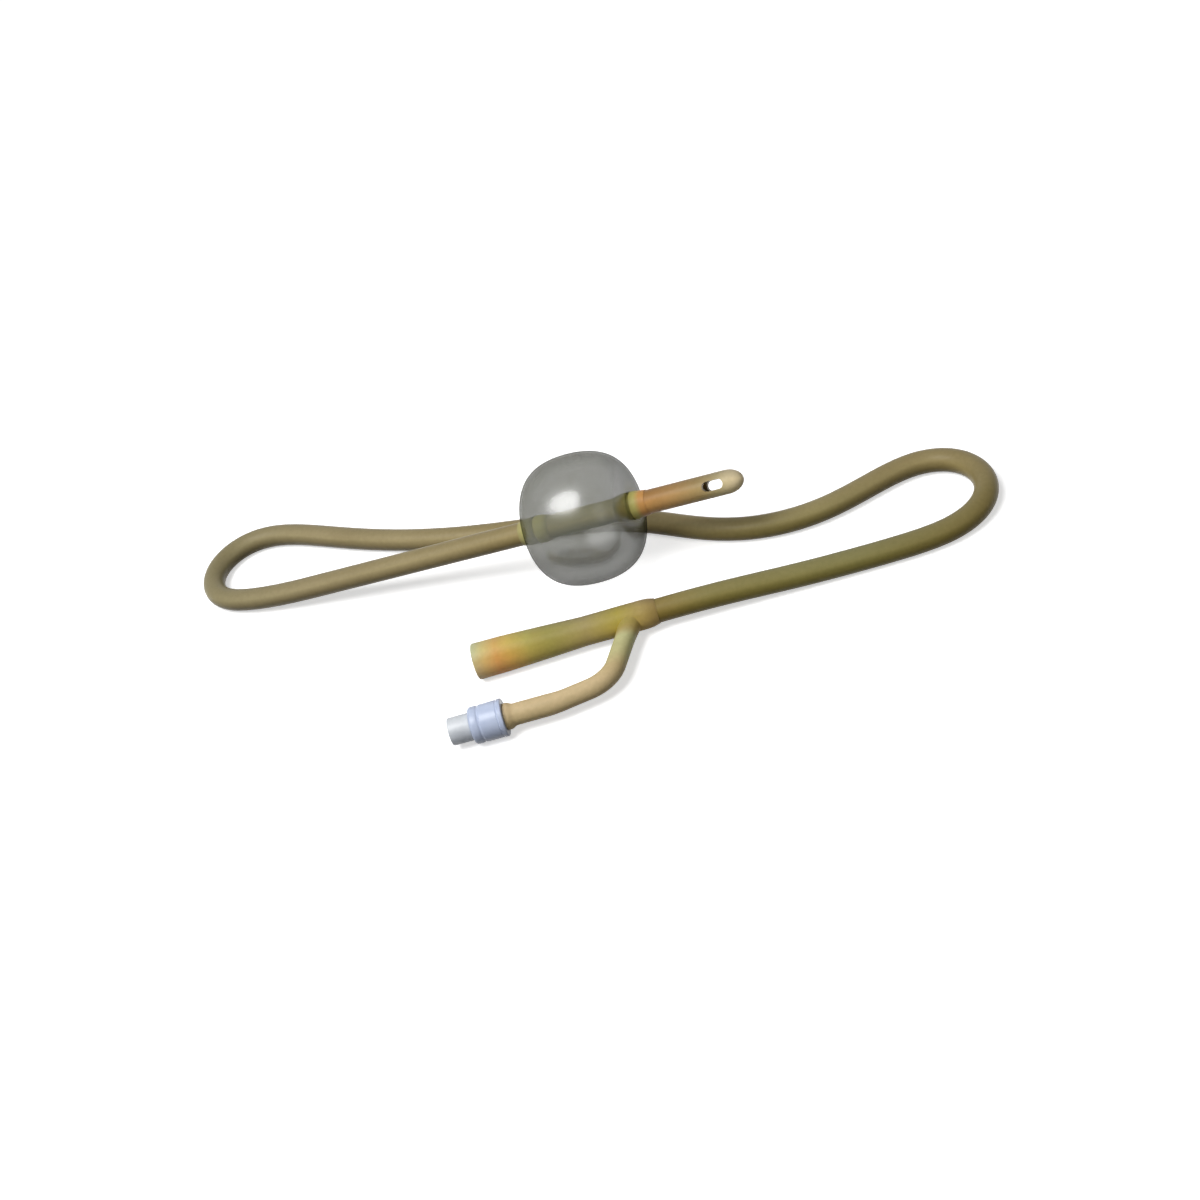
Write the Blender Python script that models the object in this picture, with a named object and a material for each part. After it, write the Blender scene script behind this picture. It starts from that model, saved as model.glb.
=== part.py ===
"""A two-way Foley urinary catheter, 14 French, lying folded on a table with its balloon inflated.

Lengths are in metres, +Z is up and the table is z = 0.
The drainage funnel opens towards -X, and the origin is under the middle of the whole catheter.
"""

import math

import bmesh
import bpy
from mathutils import Matrix, Vector

# Shaft: an extruded tube with a large drainage lumen and a small inflation lumen in its wall
SHAFT_D = 0.00467
DRAINAGE_LUMEN_D = 0.0026
DRAINAGE_LUMEN_OFFSET = 0.0003
INFLATION_LUMEN_D = 0.00064
INFLATION_LUMEN_OFFSET = 0.00165
INFLATION_HOLE_D = 0.0008
SHAFT_SIDES = 16
LUMEN_SIDES = 10
INFLATION_SIDES = 6

# Clearances: between bonded pieces, and round what slides
BOND_GAP = 0.00005
RUNNING_GAP = 0.0001

# Tip: closed and rounded, with two opposed drainage eyes
TIP_LENGTH = 0.0243
TIP_NOSE = 0.0034
TIP_LUMEN_D = 0.0025
TIP_LUMEN_END = 0.0022
EYE_LENGTH = 0.0042
EYE_WIDTH = 0.0019
EYE_FROM_END = 0.0057
EYE_TILT = math.radians(36.0)

# Balloon: a thin sleeve with a cuff inside each neck and a tapered lip outside it, blown up
BALLOON_D = 0.0260
BALLOON_WALL = 0.0004
PROXIMAL_NECK = 0.0102
DISTAL_NECK = 0.0110
CUFF_LENGTH = 0.0034
LIP_LENGTH = 0.0030
CUFF_WALL = 0.00042
PROXIMAL_BULGE = 0.0004
DISTAL_BULGE = 0.0005
SHOULDER = 0.0094
NECK_RISE = 0.0051
BALLOON_SIDES = 32
BALLOON_STEPS = 10

# Moulding: the drainage funnel and the inflation arm, in one piece
FUNNEL_LENGTH = 0.0360
MOUTH_D = 0.0071
MOUTH_BORE_D = 0.0059
MOUTH_BORE_DEPTH = 0.0075
RIM_ROUND = 0.00025
WAIST_D = 0.00565
SLEEVE_D = 0.0057
SLEEVE_STEP = 0.0004
SOCKET_DEPTH = 0.0100
FUNNEL_SIDES = 32
ARM_D = 0.0038
ARM_BORE_D = 0.0013
ARM_ROOT = 0.0049
ARM_ANGLE = math.radians(69.0)
ARM_BEND = 0.0075
ARM_OFFSET = 0.0176
ARM_END = 0.0310
ARM_ROOT_FLARE = 0.0005
ARM_ROOT_LENGTH = 0.0075
ARM_SOCKET_D = 0.0041
ARM_LIP_D = 0.0050
ARM_LIP_LENGTH = 0.0012
ARM_SLOPE = math.radians(11.0)
ARM_EASE = 0.0200
BARB_SOCKET_D = 0.0032
BARB_SOCKET_DEPTH = 0.0075
ARM_SIDES = 20

# Inflation valve: distances are measured outwards from the end of the inflation arm
COLLAR_D = 0.0070
COLLAR_LENGTH = 0.0063
FLANGE_D = 0.0071
FLANGE_WIDTH = 0.0009
CORE_D = 0.0049
NOSE_D = 0.0052
VALVE_LENGTH = 0.0105
LUER_D = 0.0043
LUER_TAPER = 0.06
LUER_DEPTH = 0.0076
SEAT_BORE_D = 0.0015
SEAT_WIDTH = 0.0010
CHAMBER_D = 0.0021
BARB_LENGTH = 0.0068
BARB_D = 0.0029
BARB_RIDGE = 0.0001
BARB_LIP_WIDTH = 0.0009
BARB_LIP_D = 0.0015
VALVE_SIDES = 28

# Valve stem, seal, spring and the ring that holds the spring
STEM_TRAVEL = 0.0015
FIN_SPAN = SEAT_BORE_D - 2 * RUNNING_GAP
FIN_THICKNESS = 0.0004
FIN_LENGTH = 0.0034
STEM_NECK_D = 0.0009
SEAL_D = CHAMBER_D - 2 * RUNNING_GAP
SEAL_WIDTH = 0.0009
SHOULDER_D = SEAL_D - 2 * BOND_GAP
SHOULDER_WIDTH = 0.0005
GUIDE_D = 0.0008
GUIDE_LENGTH = 2 * STEM_TRAVEL
WIRE_D = 0.0002
SPRING_D = 0.0017
SPRING_TURNS = 6
RETAINER_WIDTH = 0.0009
RETAINER_BORE_D = 0.0011
SPRING_STEPS = 14
WIRE_SIDES = 6

# Places: the funnel's mouth, the balloon's centre in plan, and the way the tip points
MOUTH_X = -0.0221
MOUTH_Y = -0.0226
BALLOON_X = 0.0261
BALLOON_Y = 0.0221
TIP_HEADING = math.radians(-14.3)
TIP_PITCH = math.radians(7.9)
TIP_BLEND = 0.0080

# The shaft's route over the table, in plan from the funnel's mouth, chosen by hand.
# It runs from the moulding, folds back behind the balloon, and folds again to the tip.
ROUTE = (
    (0.0260, 0.0000), (0.0320, 0.0000), (0.0380, 0.0000), (0.0440, 0.0000), (0.0530, 0.0000),
    (0.0630, 0.0000), (0.0730, 0.0000), (0.0830, 0.0000), (0.0920, 0.0006), (0.0988, 0.0040), (0.1026, 0.0099), (0.1026, 0.0166),
    (0.0988, 0.0224), (0.0915, 0.0246), (0.0830, 0.0218), (0.0740, 0.0180), (0.0645, 0.0168),
    (0.0550, 0.0186), (0.0464, 0.0234), (0.0388, 0.0294), (0.0295, 0.0346), (0.0190, 0.0374),
    (0.0070, 0.0402), (-0.0050, 0.0438), (-0.0165, 0.0486), (-0.0272, 0.0544), (-0.0364, 0.0602),
    (-0.0440, 0.0640), (-0.0508, 0.0643), (-0.0563, 0.0606), (-0.0588, 0.0545), (-0.0577, 0.0480),
    (-0.0532, 0.0432),
)
LINE_POINTS = (0.0070, 0.0170, 0.0270)
SETTLE_START = 0.0440
SETTLE_END = 0.0700
MAX_TURN = math.radians(11.0)
MAX_STEP = 0.0110

SHAFT_R = SHAFT_D / 2
AXIS_HEIGHT = max(MOUTH_D, FLANGE_D) / 2
MOUTH = Vector((MOUTH_X, MOUTH_Y, AXIS_HEIGHT))
SHARP = math.radians(32.0)


def clear_scene():
    """Starts from an empty scene."""
    for thing in list(bpy.data.objects):
        bpy.data.objects.remove(thing, do_unlink=True)


def material(name, colour, roughness, metallic=0.0, alpha=1.0):
    """A Principled material for one kind of piece."""
    made = bpy.data.materials.new(name)
    made.use_nodes = True
    shader = made.node_tree.nodes["Principled BSDF"]
    shader.inputs["Base Color"].default_value = (*colour, 1.0)
    shader.inputs["Roughness"].default_value = roughness
    shader.inputs["Metallic"].default_value = metallic
    shader.inputs["Alpha"].default_value = alpha
    return made


def finish_object(name, bm, look, frame=None):
    """Turns a bmesh into a named object with outward faces, placed by a matrix."""
    bmesh.ops.recalc_face_normals(bm, faces=bm.faces)
    mesh = bpy.data.meshes.new(name)
    bm.to_mesh(mesh)
    bm.free()
    mesh.shade_smooth()
    mesh.set_sharp_from_angle(angle=SHARP)
    mesh.materials.append(look)
    made = bpy.data.objects.new(name, mesh)
    bpy.context.collection.objects.link(made)
    if frame is not None:
        made.matrix_world = frame
    return made


def turned(profile, sides):
    """A solid turned about its X axis from a closed profile of (x, radius) points."""
    bm = bmesh.new()
    points = [bm.verts.new((x, 0.0, radius)) for x, radius in profile]
    edges = []
    for a, b in zip(points, points[1:] + points[:1]):
        if a.co.z > 0 or b.co.z > 0:
            edges.append(bm.edges.new((a, b)))
    bmesh.ops.spin(
        bm, geom=points + edges, cent=(0, 0, 0), axis=(1, 0, 0),
        angle=math.tau, steps=sides, use_merge=False, use_duplicate=False,
    )
    bmesh.ops.remove_doubles(bm, verts=bm.verts, dist=1e-7)
    return bm


def ring(sides, radius, shift=0.0):
    """Points round a circle as (side, up) pairs, moved sideways by shift."""
    turns = [math.tau * k / sides for k in range(sides)]
    return [(shift + radius * math.cos(a), radius * math.sin(a)) for a in turns]


def skin(bm, rows, close):
    """Quads between neighbouring rows of vertices that each form a closed loop."""
    pairs = list(zip(rows, rows[1:]))
    if close:
        pairs.append((rows[-1], rows[0]))
    for a, b in pairs:
        count = len(a)
        for k in range(count):
            bm.faces.new((a[k], a[(k + 1) % count], b[(k + 1) % count], b[k]))


def swept(stations, outlines):
    """Sweeps closed outlines along stations of (point, side, up) and caps both ends.

    Each outline is a function of the station's number that gives (side, up) pairs. The first
    is the outer wall and the others are lumens that run right through.
    """
    bm = bmesh.new()
    ends = ([], [])
    for outline in outlines:
        rows = []
        for number, (point, side, up) in enumerate(stations):
            rows.append([bm.verts.new(point + side * s + up * u) for s, u in outline(number)])
        skin(bm, rows, close=False)
        for rim, row in zip(ends, (rows[0], rows[-1])):
            rim += [bm.edges.get((row[k - 1], row[k])) for k in range(len(row))]
    for rim in ends:
        bmesh.ops.triangle_fill(bm, use_beauty=True, use_dissolve=False, edges=rim)
    return bm


def cutter(name, bm, frame=None):
    """A hidden solid that a Boolean modifier uses."""
    bmesh.ops.recalc_face_normals(bm, faces=bm.faces)
    mesh = bpy.data.meshes.new(name)
    bm.to_mesh(mesh)
    bm.free()
    made = bpy.data.objects.new(name, mesh)
    bpy.context.collection.objects.link(made)
    if frame is not None:
        made.matrix_world = frame
    made.hide_render = True
    made.display_type = "WIRE"
    return made


def combine(body, tool, operation):
    """Adds an exact Boolean of body with tool."""
    step = body.modifiers.new(f"{operation.lower()}_{tool.name}", "BOOLEAN")
    step.operation = operation
    step.solver = "EXACT"
    step.object = tool


def tip_direction():
    """The way the catheter's tip points, rising a little from the table."""
    level = math.cos(TIP_PITCH)
    return Vector((
        level * math.cos(TIP_HEADING), level * math.sin(TIP_HEADING), math.sin(TIP_PITCH),
    ))


def balloon_side(neck_at, reach, steps):
    """The membrane from one neck to the equator, as (x, radius) with the neck at +x."""
    neck = Vector((neck_at, SHAFT_R + BOND_GAP + CUFF_WALL))
    equator = Vector((0.0, BALLOON_D / 2))
    lift = neck + Vector((reach, NECK_RISE))
    shoulder = equator + Vector((SHOULDER, 0.0))
    points = []
    for k in range(steps + 1):
        t = k / steps
        w = 1 - t
        p = w ** 3 * neck + 3 * w * w * t * lift + 3 * w * t * t * shoulder + t ** 3 * equator
        points.append((p.x, p.y))
    return points


def balloon_outline():
    """The balloon's outer profile, from the proximal neck to the distal one."""
    near_side = balloon_side(PROXIMAL_NECK, PROXIMAL_BULGE, BALLOON_STEPS)
    near = [(-x, radius) for x, radius in near_side]
    far = balloon_side(DISTAL_NECK, DISTAL_BULGE, BALLOON_STEPS)
    return near + far[-2::-1]


def balloon_rest_height():
    """How high the balloon's centre lies when its membrane touches the table."""
    sine, cosine = math.sin(TIP_PITCH), math.cos(TIP_PITCH)
    return max(radius * cosine - x * sine for x, radius in balloon_outline())


def balloon_centre():
    """The balloon's centre over the table."""
    return Vector((MOUTH_X + BALLOON_X, MOUTH_Y + BALLOON_Y, balloon_rest_height()))


def touch_down():
    """Where the line through the balloon and tip would meet the lying shaft's axis."""
    along = (balloon_rest_height() - SHAFT_R) / math.sin(TIP_PITCH)
    return balloon_centre() - tip_direction() * along


def tip_joint():
    """Where the shaft ends and the moulded tip begins, inside the distal cuff."""
    return balloon_centre() + tip_direction() * (DISTAL_NECK - CUFF_LENGTH / 2)


def lying_height(ahead):
    """Axis height for a plan distance past the touch-down, blended into the tip's slope."""
    slope = math.tan(TIP_PITCH)
    if ahead <= -TIP_BLEND:
        return SHAFT_R
    if ahead >= TIP_BLEND:
        return SHAFT_R + slope * ahead
    return SHAFT_R + slope * (ahead + TIP_BLEND) ** 2 / (4 * TIP_BLEND)


def settle_height(from_mouth):
    """Axis height along the first leg: level with the moulding, then down to the table."""
    t = min(1.0, max(0.0, (from_mouth - SETTLE_START) / (SETTLE_END - SETTLE_START)))
    return AXIS_HEIGHT + (SHAFT_R - AXIS_HEIGHT) * t * t * (3 - 2 * t)


def route_points():
    """The route's guide points in space, from the moulding's socket to the tip's straight."""
    points = []
    for number, (x, y) in enumerate(ROUTE):
        height = settle_height(x) if number < len(ROUTE) // 2 else SHAFT_R
        points.append(Vector((MOUTH_X + x, MOUTH_Y + y, height)))
    points[0].x = MOUTH_X + FUNNEL_LENGTH - SOCKET_DEPTH + BOND_GAP
    start = touch_down()
    level = Vector((math.cos(TIP_HEADING), math.sin(TIP_HEADING), 0))
    points[-1].z = lying_height((points[-1] - start).dot(level))
    for ahead in LINE_POINTS:
        place = start + level * ahead
        place.z = lying_height(ahead)
        points.append(place)
    return points


def smooth_curve(points):
    """Points along a cubic B-spline led by the guide points, closer together in the bends."""
    guide = [2 * points[0] - points[1], *points, 2 * points[-1] - points[-2]]
    curve = []
    for a, b, c, d in zip(guide, guide[1:], guide[2:], guide[3:]):
        turn = (c - a).angle(d - b)
        steps = max(1, math.ceil(turn / MAX_TURN), math.ceil((c - b).length / MAX_STEP))
        for k in range(steps):
            t = k / steps
            w = 1 - t
            curve.append((
                w ** 3 * a + (3 * t ** 3 - 6 * t * t + 4) * b
                + (3 * w ** 3 - 6 * w * w + 4) * c + t ** 3 * d
            ) / 6)
    return curve


def shaft_line():
    """The whole shaft's axis, ending in the straight that carries the balloon."""
    curve = smooth_curve(route_points())
    straight = tip_direction()
    inside_balloon = balloon_centre()
    half = PROXIMAL_NECK + LIP_LENGTH
    return curve + [
        inside_balloon - straight * (half + SHAFT_D * 4),
        inside_balloon - straight * half,
        inside_balloon,
        tip_joint(),
    ]


def stations_along(line):
    """Frames along a line: the point, the level direction to its right, and the way up."""
    frames = []
    for k, point in enumerate(line):
        before = line[max(k - 1, 0)]
        after = line[min(k + 1, len(line) - 1)]
        forward = (after - before).normalized()
        right = forward.cross(Vector((0, 0, 1))).normalized()
        frames.append((point, right, right.cross(forward)))
    return frames


def arc_points(start, first, last, radius, steps):
    """Points along an arc in the table's plane, turning from one angle below -X to another."""
    points = []
    for k in range(1, steps + 1):
        angle = first + (last - first) * k / steps
        across = radius * (math.sin(angle) - math.sin(first))
        down = radius * (math.cos(angle) - math.cos(first))
        points.append(start + Vector((across, -down, 0)))
    return points


def arm_line():
    """The inflation arm's axis: a steep straight, a bend, a gentle slope and the valve's socket."""
    start = Vector((MOUTH_X + FUNNEL_LENGTH - ARM_ROOT, MOUTH_Y, AXIS_HEIGHT))
    end = valve_origin()
    socket_start = end + Vector((BARB_SOCKET_DEPTH, 0, 0))
    steep, slope = ARM_ANGLE, ARM_SLOPE
    across = start.x - socket_start.x - SHAFT_D / 8
    across -= ARM_BEND * (math.sin(steep) - math.sin(slope)) + ARM_EASE * math.sin(slope)
    down = ARM_OFFSET - ARM_BEND * (math.cos(slope) - math.cos(steep))
    down -= ARM_EASE * (1 - math.cos(slope))
    first = (down * math.cos(slope) - across * math.sin(slope)) / math.sin(steep - slope)
    second = (across * math.sin(steep) - down * math.cos(steep)) / math.sin(steep - slope)
    points = [
        start + Vector((-math.cos(steep), -math.sin(steep), 0)) * (first * k / 6) for k in range(7)
    ]
    points += arc_points(points[-1], steep, slope, ARM_BEND, 7)
    points.append(points[-1] + Vector((-math.cos(slope), -math.sin(slope), 0)) * second)
    points += arc_points(points[-1], slope, 0.0, ARM_EASE, 2)
    inwards = (0.0, BARB_SOCKET_DEPTH / 2, BARB_SOCKET_DEPTH - 1.5 * ARM_LIP_LENGTH)
    points += [socket_start - Vector((depth, 0, 0)) for depth in inwards]
    return points + [end + Vector((ARM_LIP_LENGTH / 2, 0, 0)), end]


def valve_origin():
    """The middle of the inflation arm's end face, where the valve's axis starts."""
    return Vector((
        MOUTH_X + FUNNEL_LENGTH - ARM_END, MOUTH_Y - ARM_OFFSET, AXIS_HEIGHT,
    ))


def valve_frame():
    """Local X runs outwards along the valve's axis, and Z stays up."""
    return Matrix.Translation(valve_origin()) @ Matrix.Rotation(math.pi, 4, "Z")


def tip_frame(origin):
    """Local X runs along the tip's direction from an origin on it."""
    turn = Matrix.Rotation(TIP_HEADING, 4, "Z") @ Matrix.Rotation(-TIP_PITCH, 4, "Y")
    return Matrix.Translation(origin) @ turn


def hole_cutter(name, place, towards, depth_from, depth_to):
    """A short round cutter that points along a direction from the shaft's axis."""
    bm = bmesh.new()
    bmesh.ops.create_cone(
        bm, cap_ends=True, segments=INFLATION_SIDES * 2,
        radius1=INFLATION_HOLE_D / 2, radius2=INFLATION_HOLE_D / 2, depth=depth_to - depth_from,
    )
    turn = towards.to_track_quat("Z", "Y").to_matrix().to_4x4()
    middle = place + towards * ((depth_from + depth_to) / 2)
    return cutter(name, bm, Matrix.Translation(middle) @ turn)


def make_shaft(look):
    """The extruded tube, with a hole from its inflation lumen at the arm and in the balloon."""
    outer = ring(SHAFT_SIDES, SHAFT_R)
    drainage = ring(LUMEN_SIDES, DRAINAGE_LUMEN_D / 2, -DRAINAGE_LUMEN_OFFSET)
    inflation = ring(INFLATION_SIDES, INFLATION_LUMEN_D / 2, INFLATION_LUMEN_OFFSET)
    bm = swept(
        stations_along(shaft_line()),
        [lambda _: outer, lambda _: drainage, lambda _: inflation],
    )
    shaft = finish_object("shaft_tube", bm, look)
    arm_start = arm_line()[0]
    arm_way = (arm_line()[1] - arm_start).normalized()
    at_arm = arm_start + arm_way * (INFLATION_LUMEN_OFFSET / math.sin(ARM_ANGLE))
    at_arm.y = MOUTH_Y
    side = tip_direction().cross(Vector((0, 0, 1))).normalized()
    holes = (
        ("arm_hole", at_arm, Vector((0, -1, 0))),
        ("balloon_hole", balloon_centre(), side),
    )
    for name, place, towards in holes:
        tool = hole_cutter(name, place, towards, INFLATION_LUMEN_OFFSET, SHAFT_D)
        combine(shaft, tool, "DIFFERENCE")


def make_tip(look):
    """The closed tip: hollow up to its rounded end, with two opposed eyes cut through it."""
    radius = SHAFT_R
    nose_start = TIP_LENGTH - TIP_NOSE
    profile = [(BOND_GAP, radius)]
    arc_steps = 8
    for k in range(arc_steps + 1):
        angle = math.pi / 2 * k / arc_steps
        profile.append((nose_start + TIP_NOSE * math.sin(angle), radius * math.cos(angle)))
    profile[-1] = (TIP_LENGTH, 0.0)
    lumen = TIP_LUMEN_D / 2
    lumen_end = TIP_LENGTH - TIP_LUMEN_END
    for k in range(4, -1, -1):
        angle = math.pi / 2 * k / 4
        x = lumen_end - lumen + lumen * math.sin(angle)
        profile.append((x, 0.0 if k == 4 else lumen * math.cos(angle)))
    profile.append((BOND_GAP, lumen))
    bm = turned(profile, SHAFT_SIDES * 3 // 2)
    tip = finish_object("drainage_tip", bm, look, tip_frame(tip_joint()))

    straight = (EYE_LENGTH - EYE_WIDTH) / 2
    eye = bmesh.new()
    outline = []
    for k in range(20):
        angle = math.tau * (k + 0.5) / 20
        shift = math.copysign(straight, math.cos(angle))
        outline.append((shift + EYE_WIDTH / 2 * math.cos(angle), EYE_WIDTH / 2 * math.sin(angle)))
    rows = []
    for y in (-SHAFT_D, SHAFT_D):
        rows.append([eye.verts.new((x, y, z)) for x, z in outline])
    skin(eye, rows, close=False)
    eye.faces.new(rows[0])
    eye.faces.new(rows[1][::-1])
    place = tip_frame(tip_joint()) @ Matrix.Translation((TIP_LENGTH - EYE_FROM_END, 0, 0))
    tool = cutter("eye_cutter", eye, place @ Matrix.Rotation(-EYE_TILT, 4, "X"))
    combine(tip, tool, "DIFFERENCE")


def make_balloon(look):
    """The inflated sleeve: a cuff and lip on the shaft at each end and a membrane between."""
    outer = balloon_outline()
    inner = []
    for k, (x, radius) in enumerate(outer):
        before, after = outer[max(k - 1, 0)], outer[min(k + 1, len(outer) - 1)]
        along = Vector((after[0] - before[0], after[1] - before[1])).normalized()
        inner.append((x + along.y * BALLOON_WALL, radius - along.x * BALLOON_WALL))
    bore = SHAFT_R + BOND_GAP
    rim = bore + CUFF_WALL
    inner = [p for p in inner if p[1] > rim + BALLOON_WALL / 2]
    thin = BALLOON_WALL / 4
    near_lip, far_lip = -PROXIMAL_NECK - LIP_LENGTH, DISTAL_NECK + LIP_LENGTH
    near_cuff, far_cuff = CUFF_LENGTH - PROXIMAL_NECK, DISTAL_NECK - CUFF_LENGTH
    profile = [(near_lip, bore), (near_lip, bore + thin)] + outer
    profile += [(far_lip, bore + thin), (far_lip, bore), (far_cuff, bore), (far_cuff, rim - thin)]
    profile += [(far_cuff + thin, rim), (DISTAL_NECK - BALLOON_WALL * 1.5, rim)] + inner[::-1]
    profile += [(BALLOON_WALL * 1.5 - PROXIMAL_NECK, rim), (near_cuff - thin, rim)]
    profile += [(near_cuff, rim - thin), (near_cuff, bore)]
    bm = turned(profile, BALLOON_SIDES)
    finish_object("balloon", bm, look, tip_frame(balloon_centre()))


def make_moulding(look):
    """The funnel and the inflation arm as one moulding, hollow from the sockets outwards."""
    mouth, waist, sleeve = MOUTH_D / 2, WAIST_D / 2, SLEEVE_D / 2
    length = FUNNEL_LENGTH
    funnel = turned([
        (0.0, 0.0), (0.0, mouth - RIM_ROUND), (RIM_ROUND, mouth), (length * 0.16, mouth * 0.985),
        (length * 0.38, (mouth + waist) / 2), (length * 0.60, waist),
        (length * 0.80, sleeve), (length - SLEEVE_STEP, sleeve), (length, sleeve - SLEEVE_STEP),
        (length, 0.0),
    ], FUNNEL_SIDES)
    frame = Matrix.Translation(MOUTH)
    moulding = finish_object("bifurcation", funnel, look, frame)

    line = arm_line()
    travelled = [0.0]
    for a, b in zip(line, line[1:]):
        travelled.append(travelled[-1] + (b - a).length)
    socket_at = travelled[-1] - BARB_SOCKET_DEPTH
    lip_at = travelled[-1] - ARM_LIP_LENGTH

    def arm_wall(number):
        near_root = max(0.0, 1 - travelled[number] / ARM_ROOT_LENGTH)
        near_end = min(1.0, max(0.0, (travelled[number] - socket_at) / SHAFT_D + 1))
        lip = min(1.0, max(0.0, (travelled[number] - lip_at) / (ARM_LIP_LENGTH / 2)))
        radius = ARM_D / 2 + ARM_ROOT_FLARE * near_root ** 2
        radius += (ARM_SOCKET_D - ARM_D) / 2 * near_end + (ARM_LIP_D - ARM_SOCKET_D) / 2 * lip
        return ring(ARM_SIDES, radius)

    arm = cutter("arm_wall", swept(stations_along(line), [arm_wall]))
    combine(moulding, arm, "UNION")

    socket = SHAFT_R + BOND_GAP
    bore = DRAINAGE_LUMEN_D / 2
    socket_start = length - SOCKET_DEPTH
    past = SHAFT_D
    mouth_bore = MOUTH_BORE_D / 2
    inside = turned([
        (-past, 0.0), (-past, mouth_bore), (0.0, mouth_bore),
        (MOUTH_BORE_DEPTH, mouth_bore - BOND_GAP * 2), (length * 0.42, (mouth_bore + bore) / 2),
        (length * 0.62, bore), (socket_start, bore), (socket_start, socket),
        (length + past, socket), (length + past, 0.0),
    ], FUNNEL_SIDES)
    combine(moulding, cutter("drainage_bore", inside, frame), "DIFFERENCE")

    arm_bore = ring(LUMEN_SIDES, ARM_BORE_D / 2)
    start = line[0] + (line[1] - line[0]).normalized() * INFLATION_LUMEN_OFFSET
    passage = swept(stations_along([start] + line[1:-3]), [lambda _: arm_bore])
    combine(moulding, cutter("arm_bore", passage), "DIFFERENCE")
    seat = turned([
        (-BARB_SOCKET_DEPTH, 0.0), (-BARB_SOCKET_DEPTH, BARB_SOCKET_D / 2),
        (past, BARB_SOCKET_D / 2), (past, 0.0),
    ], VALVE_SIDES)
    combine(moulding, cutter("barb_socket", seat, valve_frame()), "DIFFERENCE")


def luer_bottom():
    """Where the luer socket ends, measured from the arm's end face."""
    return VALVE_LENGTH - LUER_DEPTH


def seal_seat():
    """The inner face that the seal closes against."""
    return luer_bottom() - SEAT_WIDTH


def retainer_face():
    """The face of the retaining ring that carries the spring."""
    return -BARB_LENGTH + BARB_LIP_WIDTH + BOND_GAP + RETAINER_WIDTH


def make_housing(look):
    """The valve's core: a barb in the arm, the chamber, the seal's seat and the luer port."""
    core, nose, luer = CORE_D / 2, NOSE_D / 2, LUER_D / 2
    seat, chamber, barb = SEAT_BORE_D / 2, CHAMBER_D / 2, BARB_D / 2
    luer_end = luer - LUER_TAPER * LUER_DEPTH / 2
    profile = [(-BARB_LENGTH, BARB_LIP_D / 2), (-BARB_LENGTH, barb - BARB_RIDGE)]
    pitch = (BARB_LENGTH - SEAT_WIDTH) / 3
    for k in range(3):
        root = -BARB_LENGTH + pitch * k
        profile += [
            (root + pitch * 0.55, barb + BARB_RIDGE), (root + pitch * 0.70, barb + BARB_RIDGE),
            (root + pitch * 0.72, barb), (root + pitch, barb),
        ]
    profile += [
        (BOND_GAP, barb), (BOND_GAP, core), (COLLAR_LENGTH + 2 * BOND_GAP, core),
        (COLLAR_LENGTH + 2 * BOND_GAP, nose - RIM_ROUND / 2),
        (COLLAR_LENGTH + RIM_ROUND, nose), (VALVE_LENGTH - RIM_ROUND / 2, nose),
        (VALVE_LENGTH, nose - RIM_ROUND / 2), (VALVE_LENGTH, luer),
        (luer_bottom(), luer_end), (luer_bottom(), seat), (seal_seat(), seat),
        (seal_seat(), chamber), (-BARB_LENGTH + BARB_LIP_WIDTH, chamber),
        (-BARB_LENGTH + BARB_LIP_WIDTH, BARB_LIP_D / 2),
    ]
    finish_object("valve_housing", turned(profile, VALVE_SIDES), look, valve_frame())


def make_collar(look):
    """The coloured sleeve over the valve's core, with a band next to the rubber arm."""
    bore = CORE_D / 2 + BOND_GAP
    band, body = FLANGE_D / 2, COLLAR_D / 2
    small = RIM_ROUND / 2
    start, end = BOND_GAP, COLLAR_LENGTH + BOND_GAP
    band_end = start + FLANGE_WIDTH
    groove = (band_end + end) / 2 + FLANGE_WIDTH
    profile = [
        (start, bore), (start, band - RIM_ROUND), (start + RIM_ROUND, band),
        (band_end - small, band), (band_end, body - small), (band_end + small, body),
        (groove - RIM_ROUND, body), (groove - small, body - small),
        (groove + small, body - small), (groove + RIM_ROUND, body),
        (end - 2 * RIM_ROUND, body), (end - small, body - RIM_ROUND), (end, body - 2 * RIM_ROUND),
        (end, bore),
    ]
    finish_object("valve_collar", turned(profile, VALVE_SIDES), look, valve_frame())


def make_stem(look):
    """The sliding stem: a finned end for the syringe, a neck, a shoulder and a guide pin."""
    neck, shoulder, guide = STEM_NECK_D / 2, SHOULDER_D / 2, GUIDE_D / 2
    fins_start = seal_seat()
    seal_start = fins_start - SEAL_WIDTH - 2 * BOND_GAP
    shoulder_start = seal_start - SHOULDER_WIDTH
    guide_start = shoulder_start - GUIDE_LENGTH
    core = turned([
        (guide_start, 0.0), (guide_start, guide * 0.6), (guide_start + guide * 0.4, guide),
        (shoulder_start, guide), (shoulder_start, shoulder), (seal_start, shoulder),
        (seal_start, neck), (fins_start + FIN_LENGTH / 2, neck), (fins_start + FIN_LENGTH / 2, 0.0),
    ], VALVE_SIDES // 2)
    stem = finish_object("valve_stem", core, look, valve_frame())
    span, thin = FIN_SPAN / 2, FIN_THICKNESS / 2
    corners = [
        (span, -thin), (span, thin), (thin, thin), (thin, span), (-thin, span), (-thin, thin),
        (-span, thin), (-span, -thin), (-thin, -thin), (-thin, -span), (thin, -span), (thin, -thin),
    ]
    fins = bmesh.new()
    rows = []
    for x in (fins_start, fins_start + FIN_LENGTH):
        rows.append([fins.verts.new((x, y, z)) for y, z in corners])
    skin(fins, rows, close=False)
    fins.faces.new(rows[0][::-1])
    fins.faces.new(rows[1])
    combine(stem, cutter("fins", fins, valve_frame()), "UNION")


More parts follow.
